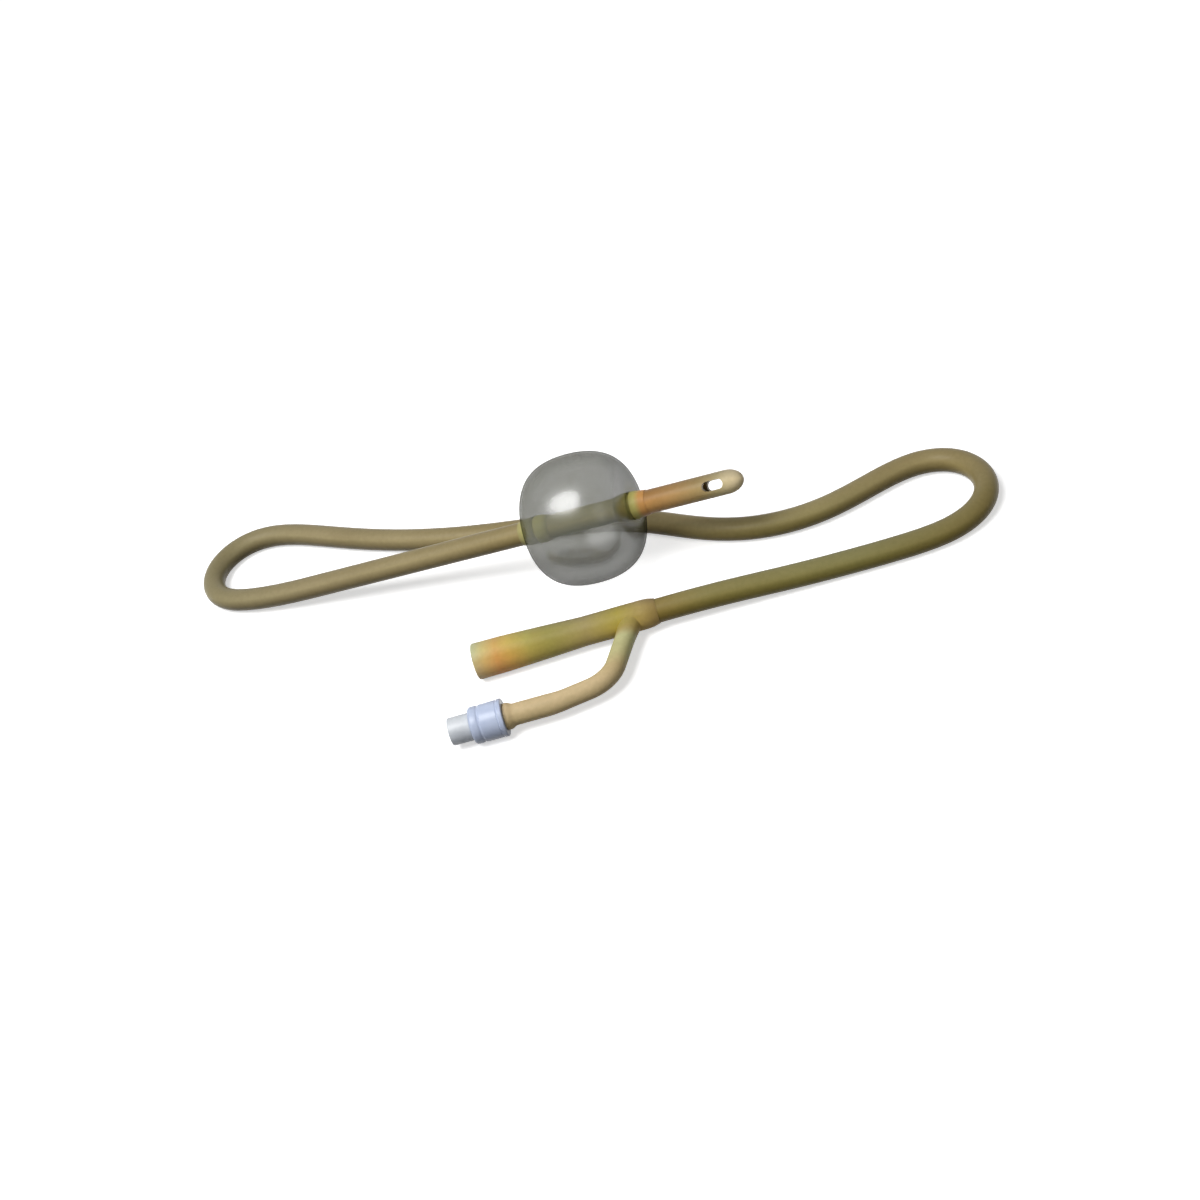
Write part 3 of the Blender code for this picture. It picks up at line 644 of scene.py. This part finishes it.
def membrane_look():
    """The balloon's outside: clearer where it faces the eye, yellower at its necks."""
    look = Look(
        "blown_membrane", MEMBRANE_TONE, 0.26, Specular_IOR_Level=0.0, Coat_IOR=1.9,
        Coat_Roughness=0.26,
    )
    grain = look.noise(MEMBRANE_GRAIN, 4.0)
    near_neck = look.near((-PROXIMAL_NECK, 0, 0), *NEAR_NECK_BLEND)
    far_neck = look.near((DISTAL_NECK, 0, 0), *FAR_NECK_BLEND)
    necks = look.math("MAXIMUM", near_neck, far_neck)
    look.set("Base Color", look.mix(necks, stretched_tone(look, grain), (0.26, 0.25, 0.09)))
    weight = look.nodes.new("ShaderNodeLayerWeight")
    weight.inputs["Blend"].default_value = 0.35
    facing = look.scalar(weight.outputs["Facing"], 0.40, 0.76, 0.25, 1.0)
    cover = look.math("ADD", facing, look.scalar(grain, -0.03, 0.03, 0.3, 0.7))
    path = look.nodes.new("ShaderNodeLightPath")
    light = look.scalar(path.outputs["Is Shadow Ray"], 1.0, 0.35)
    look.set("Alpha", look.math("MULTIPLY", cover, light))
    look.set("Coat Weight", look.scalar(weight.outputs["Facing"], 1.0, 0.0, 0.25, 0.7))
    look.bump(look.noise(160.0, 3.0), 0.12, 0.0002)
    return look


def lining_look():
    """The balloon's inside, wet and glossy."""
    look = Look(
        "membrane_lining", MEMBRANE_TONE, 0.20, Specular_IOR_Level=0.0, Coat_Weight=1.0,
        Coat_IOR=2.8, Coat_Roughness=0.24,
    )
    look.set("Base Color", stretched_tone(look, look.noise(MEMBRANE_GRAIN, 4.0)))
    path = look.nodes.new("ShaderNodeLightPath")
    look.set("Alpha", look.scalar(path.outputs["Is Shadow Ray"], 0.42, 0.13))
    return look


def make_balloon():
    outer = balloon_outline(28)
    inner = []
    for k, (x, radius) in enumerate(outer):
        before, after = outer[max(k - 1, 0)], outer[min(k + 1, len(outer) - 1)]
        along = Vector((after[0] - before[0], after[1] - before[1])).normalized()
        inner.append((x + along.y * BALLOON_WALL, radius - along.x * BALLOON_WALL))
    bore = SHAFT_R + BOND_GAP
    rim = bore + CUFF_WALL
    inner = [p for p in inner if p[1] > rim + BALLOON_WALL / 2]
    thin = BALLOON_WALL / 4
    near_lip, far_lip = -PROXIMAL_NECK - LIP_LENGTH, DISTAL_NECK + LIP_LENGTH
    near_cuff, far_cuff = CUFF_LENGTH - PROXIMAL_NECK, DISTAL_NECK - CUFF_LENGTH
    edge = bore + thin / 2
    lip = [(LIP_LENGTH * k / 6, edge + (rim - edge) * k / 6) for k in range(1, 6)]
    profile = [(near_lip, bore), (near_lip, edge)]
    profile += [(near_lip + x, radius) for x, radius in lip] + outer
    profile += [(far_lip - x, radius) for x, radius in lip[::-1]]
    profile += [(far_lip, edge), (far_lip, bore), (far_cuff, bore), (far_cuff, bore + thin)]
    profile += [(far_cuff + CUFF_LENGTH / 2, rim), (DISTAL_NECK - BALLOON_WALL * 1.5, rim)]
    profile += inner[::-1]
    profile += [(BALLOON_WALL * 1.5 - PROXIMAL_NECK, rim), (near_cuff - CUFF_LENGTH / 2, rim)]
    profile += [(near_cuff, bore + thin), (near_cuff, bore)]
    balloon = make_object("balloon_skin", turned(profile, 96), tip_frame(BALLOON))

    membrane, lining = membrane_look(), lining_look()
    cuff = Look("cuff_latex", (0.42, 0.36, 0.14), 0.36, Specular_IOR_Level=RUBBER_SPECULAR)
    finish_rubber(cuff, cuff.ramp(cuff.along((0, 0, 0), (1, 0, 0), near_lip, far_lip), (
        (0.0, (0.38, 0.33, 0.15)), (0.05, (0.52, 0.50, 0.19)), (0.12, (0.52, 0.50, 0.19)),
        (0.15, (0.60, 0.575, 0.20)), (0.19, (0.54, 0.51, 0.18)), (0.245, (0.27, 0.26, 0.10)),
        (0.78, (0.26, 0.245, 0.10)), (0.86, (0.46, 0.42, 0.13)),
        (0.925, (0.46, 0.41, 0.13)), (0.965, (0.53, 0.27, 0.085)),
    )))
    for look in (membrane, cuff, lining):
        balloon.data.materials.append(look.material)
    for face in balloon.data.polygons:
        centre = face.center
        radius = math.hypot(centre.y, centre.z)
        if radius < rim + BALLOON_WALL / 8:
            face.material_index = 1
        elif centre.dot(face.normal) < 0:
            face.material_index = 2
    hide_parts("balloon")
    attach(balloon, "catheter")
    return balloon


def arc_points(start, first, last, radius, steps):
    """Points along an arc in the table's plane, turning from one angle below -X to another."""
    points = []
    for k in range(1, steps + 1):
        angle = first + (last - first) * k / steps
        across = radius * (math.sin(angle) - math.sin(first))
        down = radius * (math.cos(angle) - math.cos(first))
        points.append(start + Vector((across, -down, 0)))
    return points


def arm_line():
    """The inflation arm's axis: a steep straight, a bend, a gentle slope and the valve's socket."""
    start = MOUTH + Vector((FUNNEL_LENGTH - ARM_ROOT, 0, 0))
    socket_start = VALVE + Vector((BARB_SOCKET_DEPTH, 0, 0))
    steep, slope = ARM_ANGLE, ARM_SLOPE
    across = start.x - socket_start.x - SHAFT_D / 8
    across -= ARM_BEND * (math.sin(steep) - math.sin(slope)) + ARM_EASE * math.sin(slope)
    down = ARM_OFFSET - ARM_BEND * (math.cos(slope) - math.cos(steep))
    down -= ARM_EASE * (1 - math.cos(slope))
    first = (down * math.cos(slope) - across * math.sin(slope)) / math.sin(steep - slope)
    second = (across * math.sin(steep) - down * math.cos(steep)) / math.sin(steep - slope)
    steep_way = Vector((-math.cos(steep), -math.sin(steep), 0))
    slope_way = Vector((-math.cos(slope), -math.sin(slope), 0))
    points = [start + steep_way * (first * k / 14) for k in range(15)]
    points += arc_points(points[-1], steep, slope, ARM_BEND, 20)
    foot = points[-1]
    points += [foot + slope_way * (second * k / 5) for k in range(1, 6)]
    points += arc_points(points[-1], slope, 0.0, ARM_EASE, 6)
    points += [socket_start.lerp(VALVE, k / 24) for k in range(25)]
    return points


def make_moulding():
    mouth, waist, sleeve = MOUTH_D / 2, WAIST_D / 2, SLEEVE_D / 2
    length = FUNNEL_LENGTH
    profile = [(0.0, 0.0)] + rounded_start(0.0, mouth, MOUTH_ROUND, 6)
    profile += [
        (length * 0.16, mouth * 0.985), (length * 0.38, (mouth + waist) / 2),
        (length * 0.60, waist), (length * 0.80, sleeve), (length * 0.93, sleeve),
        (length * 0.965, sleeve - SLEEVE_STEP * 0.25), (length, SHAFT_R + BOND_GAP * 2),
        (length, 0.0),
    ]
    body = make_object("moulding", turned(profile, 64), Matrix.Translation(MOUTH))
    line = arm_line()
    travelled = [0.0]
    for a, b in zip(line, line[1:]):
        travelled.append(travelled[-1] + (b - a).length)
    socket_at = travelled[-1] - BARB_SOCKET_DEPTH
    lip_at = travelled[-1] - ARM_LIP_LENGTH * 1.5

    def arm_wall(number):
        near_root = max(0.0, 1 - travelled[number] / ARM_ROOT_LENGTH)
        near_end = min(1.0, max(0.0, (travelled[number] - socket_at) / SHAFT_D + 1))
        lip = min(1.0, max(0.0, (travelled[number] - lip_at) / ARM_LIP_LENGTH))
        radius = ARM_D / 2 + ARM_ROOT_FLARE * near_root ** 2
        radius += (ARM_SOCKET_D - ARM_D) / 2 * near_end * near_end * (3 - 2 * near_end)
        radius += (ARM_LIP_D - ARM_SOCKET_D) / 2 * lip * lip * (3 - 2 * lip)
        return ring(40, radius)

    arm = make_object("arm", swept(stations_along(line), arm_wall))
    boolean(body, arm, "UNION")

    socket = SHAFT_R + BOND_GAP / 4
    bore = DRAINAGE_LUMEN_D / 2
    socket_start = length - SOCKET_DEPTH
    past = SHAFT_D
    mouth_bore = MOUTH_BORE_D / 2
    inside = turned([
        (-past, 0.0), (-past, mouth_bore), (0.0, mouth_bore),
        (MOUTH_BORE_DEPTH, mouth_bore - BOND_GAP * 2), (length * 0.42, (mouth_bore + bore) / 2),
        (length * 0.62, bore), (socket_start, bore), (socket_start, socket),
        (length + past, socket), (length + past, 0.0),
    ], 64)
    tool = make_object("bore", inside, Matrix.Translation(MOUTH))
    boolean(body, tool, "DIFFERENCE")
    arm_bore = ring(24, ARM_BORE_D / 2)
    start = line[0] + (line[1] - line[0]).normalized() * (SHAFT_R * 0.7)
    stations = stations_along([start] + line[2:-12])
    boolean(body, make_object("arm_bore", swept(stations, lambda _: arm_bore)), "DIFFERENCE")
    seat = turned([
        (-BARB_SOCKET_DEPTH, 0.0), (-BARB_SOCKET_DEPTH, BARB_SOCKET_D / 2),
        (past, BARB_SOCKET_D / 2), (past, 0.0),
    ], 48)
    boolean(body, make_object("seat", seat, valve_frame()), "DIFFERENCE")
    smooth(body.data)

    look = Look("moulded_latex", (0.48, 0.36, 0.14), 0.40, Specular_IOR_Level=RUBBER_SPECULAR)
    funnel = look.ramp(look.along((0, 0, 0), (1, 0, 0), 0.0, length), (
        (0.0, (0.56, 0.45, 0.24)), (0.06, (0.66, 0.43, 0.16)), (0.13, (0.70, 0.34, 0.10)),
        (0.20, (0.64, 0.37, 0.09)), (0.31, (0.48, 0.385, 0.095)), (0.42, (0.40, 0.345, 0.09)),
        (0.62, (0.41, 0.325, 0.12)), (0.80, (0.48, 0.38, 0.075)), (0.92, (0.50, 0.365, 0.12)),
        (1.0, (0.36, 0.25, 0.085)),
    ))
    arm_tone = look.ramp(look.along((0, 0, 0), (0, -1, 0), 0.0, ARM_OFFSET), (
        (0.22, (0.46, 0.33, 0.14)), (0.36, (0.58, 0.57, 0.28)), (0.58, (0.57, 0.53, 0.255)),
        (0.76, (0.56, 0.44, 0.22)), (0.92, (0.62, 0.48, 0.26)),
    ))
    on_arm = look.along((0, 0, 0), (0, -1, 0), *ARM_TONE_BLEND)
    body_tone = look.mix(on_arm, funnel, arm_tone)
    # Painted light and shade: by the way the surface faces, the moulding's lower front is painted
    # lighter, most at the mouth, and its side turned away bluer, and darker along the funnel; by
    # height, the arm is painted darker towards the table and bluer on top
    lower_front = look.turned_to(LOWER_FRONT)
    mouth_painted_light = look.ramp(lower_front, (
        (0.0, (0.90, 1.18, 1.45)), (0.25, (0.97, 1.25, 1.38)), (0.5, (1.0, 1.05, 0.98)),
        (0.8, (1.28, 1.24, 1.25)), (1.0, (1.70, 1.65, 1.80)),
    ))
    funnel_painted_light = look.ramp(lower_front, (
        (0.0, (0.74, 0.77, 1.12)), (0.2, (0.84, 0.87, 1.0)), (0.5, (0.91, 0.91, 0.86)),
        (0.8, (1.16, 1.13, 1.10)), (1.0, (1.40, 1.36, 1.40)),
    ))
    arm_painted_shade = look.ramp(look.along((0, 0, -AXIS_HEIGHT), (0, 0, 1), *ARM_SHADE_HEIGHTS), (
        (0.0, (0.74, 0.68, 0.52)), (0.45, (1.0, 1.0, 0.94)), (1.0, (1.0, 1.0, 1.15)),
    ))
    past_mouth = look.along((0, 0, 0), (1, 0, 0), *MOUTH_TONE_BLEND)
    painted_light = look.mix(on_arm, look.mix(past_mouth, mouth_painted_light, funnel_painted_light), arm_painted_shade)
    finish_rubber(look, look.mix(1.0, body_tone, painted_light, "MULTIPLY"), 0.40)
    body.data.materials.clear()
    body.data.materials.append(look.material)
    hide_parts("bifurcation")
    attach(body, "catheter")


def underside_shade(look):
    """Darkens the valve's underside."""
    return look.ramp(look.along((0, 0, 0), (0, 0, 1), -COLLAR_D / 2, COLLAR_D / 4), (
        (0.0, (0.30, 0.32, 0.36)), (0.45, (0.62, 0.64, 0.68)), (1.0, (1.0, 1.0, 1.0)),
    ))


def make_core():
    core, nose, luer = CORE_D / 2, NOSE_D / 2, LUER_D / 2
    seat, chamber, barb = SEAT_BORE_D / 2, CHAMBER_D / 2, BARB_D / 2
    luer_end = luer - LUER_TAPER * LUER_DEPTH / 2
    luer_bottom = VALVE_LENGTH - LUER_DEPTH
    profile = [(-BARB_LENGTH, BARB_LIP_D / 2), (-BARB_LENGTH, barb - BARB_RIDGE)]
    pitch = (BARB_LENGTH - SEAT_WIDTH) / 3
    for k in range(3):
        root = -BARB_LENGTH + pitch * k
        profile += [
            (root + pitch * 0.55, barb + BARB_RIDGE), (root + pitch * 0.70, barb + BARB_RIDGE),
            (root + pitch * 0.72, barb), (root + pitch, barb),
        ]
    start = COLLAR_LENGTH + 2 * BOND_GAP
    profile += [(BOND_GAP, barb), (BOND_GAP, core), (start, core)]
    profile += rounded_start(start, nose, CORE_ROUND, 4)
    profile += rounded_end(VALVE_LENGTH, nose, CORE_ROUND, CORE_ROUND, 4)
    profile += [
        (VALVE_LENGTH, luer + PORT_CHAMFER), (VALVE_LENGTH - PORT_CHAMFER, luer),
        (luer_bottom, luer_end),
        (luer_bottom, seat), (luer_bottom - SEAT_WIDTH, seat), (luer_bottom - SEAT_WIDTH, chamber),
        (-BARB_LENGTH + BARB_LIP_WIDTH, chamber), (-BARB_LENGTH + BARB_LIP_WIDTH, BARB_LIP_D / 2),
    ]
    made = make_object("valve_core", turned(profile, 72), valve_frame(), sharp=FINE_SHARP_ANGLE)
    look = Look("grey_moulding", (0.50, 0.53, 0.57), 0.38, Specular_IOR_Level=0.5)
    cloud = look.mottle(500.0, 3.0, (0.56, 0.59, 0.63), (0.66, 0.69, 0.72))
    look.set("Base Color", look.mix(1.0, cloud, underside_shade(look), "MULTIPLY"))
    look.set("Roughness", look.scalar(look.noise(900.0, 2.0), 0.33, 0.45))
    look.bump(look.noise(6000.0, 2.0), 0.2, 0.00001)
    made.data.materials.append(look.material)
    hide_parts("valve_housing")
    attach(made, "catheter")


def make_sleeve():
    bore = CORE_D / 2 + BOND_GAP
    band, body = FLANGE_D / 2, COLLAR_D / 2
    start, end = BOND_GAP, COLLAR_LENGTH + BOND_GAP
    band_end = start + FLANGE_WIDTH
    groove = (band_end + end) / 2 + FLANGE_WIDTH
    profile = [(start, bore)] + rounded_start(start, band, CORE_ROUND, 4)
    for k in range(9):
        dip = FLANGE_GROOVE_DEPTH * math.sin(math.pi * k / 8)
        x = band_end - FLANGE_GROOVE_WIDTH / 2 + FLANGE_GROOVE_WIDTH * k / 8
        profile.append((x, band - FLANGE_STEP * k / 8 - dip))
    for k in range(9):
        dip = COLLAR_GROOVE_DEPTH * math.sin(math.pi * k / 8) ** 2
        profile.append((groove - COLLAR_GROOVE_WIDTH / 2 + COLLAR_GROOVE_WIDTH * k / 8, body - dip))
    profile += rounded_end(end, body, COLLAR_ROUND, COLLAR_ROUND_DEPTH, 6)
    profile.append((end, bore))
    made = make_object("valve_sleeve", turned(profile, 72), valve_frame(), sharp=FINE_SHARP_ANGLE)
    look = Look("lavender_moulding", (0.50, 0.57, 0.74), 0.30, Specular_IOR_Level=0.4)
    cloud = look.mottle(400.0, 3.0, (0.48, 0.55, 0.72), (0.53, 0.60, 0.77))
    look.set("Base Color", look.mix(1.0, cloud, underside_shade(look), "MULTIPLY"))
    look.set("Roughness", look.scalar(look.noise(900.0, 2.0), 0.24, 0.36))
    look.bump(look.noise(5000.0, 2.0), 0.2, 0.00001)
    made.data.materials.append(look.material)
    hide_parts("valve_collar")
    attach(made, "catheter")


def make_spring():
    """The stem's coil spring."""
    wire = WIRE_D / 2
    radius = SPRING_D / 2 - wire
    low = BARB_LIP_WIDTH + RETAINER_WIDTH - BARB_LENGTH + 2 * BOND_GAP + wire
    high = VALVE_LENGTH - LUER_DEPTH - SEAT_WIDTH - SEAL_WIDTH - STEM_SHOULDER - 3 * BOND_GAP - wire
    turn_steps = 24
    closed_pitch = WIRE_D * 1.15
    open_pitch = (high - low - 2 * closed_pitch) / (SPRING_TURNS - 2)
    stations = []
    x = low
    for k in range(SPRING_TURNS * turn_steps + 1):
        angle = math.tau * k / turn_steps
        outward = Vector((0, math.cos(angle), math.sin(angle)))
        stations.append((Vector((x, 0, 0)) + outward * radius, outward, Vector((1, 0, 0))))
        in_end = not turn_steps <= k < (SPRING_TURNS - 1) * turn_steps
        x += (closed_pitch if in_end else open_pitch) / turn_steps
    section = ring(10, wire)
    made = make_object("stem_spring", swept(stations, lambda _: section), valve_frame())
    steel = Look("spring_wire", (0.62, 0.62, 0.62), 0.25, Metallic=1.0)
    steel.set("Roughness", steel.scalar(steel.noise(2500.0, 2.0), 0.2, 0.36))
    made.data.materials.append(steel.material)
    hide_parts("valve_spring")
    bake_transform(made)


def dress_inner_pieces():
    """Materials for the valve's small pieces, which keep their solids' shapes."""
    stem = Look("stem_moulding", (0.78, 0.78, 0.75), 0.38)
    stem.set("Base Color", stem.mottle(900.0, 3.0, (0.74, 0.74, 0.71), (0.82, 0.82, 0.79)))
    stem.bump(stem.noise(6000.0, 2.0), 0.2, 0.00001)
    seal = Look("seal_rubber", (0.04, 0.04, 0.04), 0.6)
    seal.set("Base Color", seal.mottle(1200.0, 3.0, (0.03, 0.03, 0.03), (0.06, 0.06, 0.06)))
    retainer = Look("retainer_moulding", (0.70, 0.68, 0.60), 0.45)
    retainer.set("Base Color", retainer.mottle(900.0, 3.0, (0.66, 0.64, 0.56), (0.73, 0.71, 0.63)))
    for node, look in (("valve_stem", stem), ("valve_seal", seal), ("spring_retainer", retainer)):
        data = bpy.data.objects[node].data
        data.materials.clear()
        data.materials.append(look.material)


def background_rays(nodes, links):
    """1 for the rays that see the bright background: camera, glossy and transmission rays."""
    path = nodes.new("ShaderNodeLightPath")
    seen = path.outputs["Is Camera Ray"]
    for kind in ("Is Glossy Ray", "Is Transmission Ray"):
        either = nodes.new("ShaderNodeMath")
        either.operation = "MAXIMUM"
        links.new(seen, either.inputs[0])
        links.new(path.outputs[kind], either.inputs[1])
        seen = either.outputs[0]
    return seen


def mixed(nodes, links, factor, low, high):
    mix = nodes.new("ShaderNodeMixShader")
    links.new(factor, mix.inputs["Fac"])
    links.new(low, mix.inputs[1])
    links.new(high, mix.inputs[2])
    return mix.outputs[0]


def coloured(nodes, kind, level):
    """A grey shader node: a diffuse surface, or light."""
    node = nodes.new(kind)
    node.inputs["Color"].default_value = (level, level, level, 1)
    return node


def floor_material():
    """Pale, with the object's shadow, where it is seen, and dull where it only lights."""
    material = bpy.data.materials.new("pale_floor")
    material.use_nodes = True
    nodes, links = material.node_tree.nodes, material.node_tree.links
    nodes.clear()
    output = nodes.new("ShaderNodeOutputMaterial")
    away = nodes.new("ShaderNodeVectorMath")
    away.operation = "LENGTH"
    links.new(nodes.new("ShaderNodeTexCoord").outputs["Object"], away.inputs[0])
    far = nodes.new("ShaderNodeMapRange")
    links.new(away.outputs["Value"], far.inputs["Value"])
    for socket, value in (("From Min", 0.3), ("From Max", 1.0), ("To Min", 0.55), ("To Max", 1.0)):
        far.inputs[socket].default_value = value
    dull = coloured(nodes, "ShaderNodeBsdfDiffuse", 0.10)
    bright = coloured(nodes, "ShaderNodeBsdfDiffuse", 0.92)
    lift = coloured(nodes, "ShaderNodeEmission", 1.0)
    links.new(far.outputs["Result"], lift.inputs["Strength"])
    total = nodes.new("ShaderNodeAddShader")
    links.new(bright.outputs[0], total.inputs[0])
    links.new(lift.outputs[0], total.inputs[1])
    seen = background_rays(nodes, links)
    links.new(
        mixed(nodes, links, seen, dull.outputs[0], total.outputs[0]), output.inputs["Surface"],
    )
    return material


def make_world():
    world = bpy.data.worlds.new("studio")
    bpy.context.scene.world = world
    world.use_nodes = True
    nodes, links = world.node_tree.nodes, world.node_tree.links
    nodes.clear()
    output = nodes.new("ShaderNodeOutputWorld")
    soft = coloured(nodes, "ShaderNodeBackground", 1)
    soft.inputs["Strength"].default_value = WORLD_LIGHT
    white = coloured(nodes, "ShaderNodeBackground", 1)
    seen = background_rays(nodes, links)
    links.new(
        mixed(nodes, links, seen, soft.outputs[0], white.outputs[0]), output.inputs["Surface"],
    )


def make_stage():
    scene = bpy.context.scene
    scene.view_settings.view_transform = "Standard"
    half = FLOOR_HALF
    mesh = bpy.data.meshes.new("floor")
    mesh.from_pydata(
        [(-half, -half, 0), (half, -half, 0), (half, half, 0), (-half, half, 0)], [],
        [(0, 1, 2, 3)],
    )
    mesh.materials.append(floor_material())
    floor = bpy.data.objects.new("floor", mesh)
    scene.collection.objects.link(floor)
    make_world()
    for name, place, size, power in LAMPS:
        lamp = bpy.data.lights.new(name, "AREA")
        lamp.shape = "DISK"
        lamp.size = size
        lamp.energy = power
        made = bpy.data.objects.new(name, lamp)
        made.location = place
        made.rotation_mode = "QUATERNION"
        made.rotation_quaternion = (-Vector(place)).to_track_quat("-Z", "Y")
        scene.collection.objects.link(made)


make_camera()
shaft, centreline = make_shaft()
tip = make_tip()
balloon = make_balloon()
make_moulding()
make_core()
make_sleeve()
make_spring()
dress_inner_pieces()
make_stage()
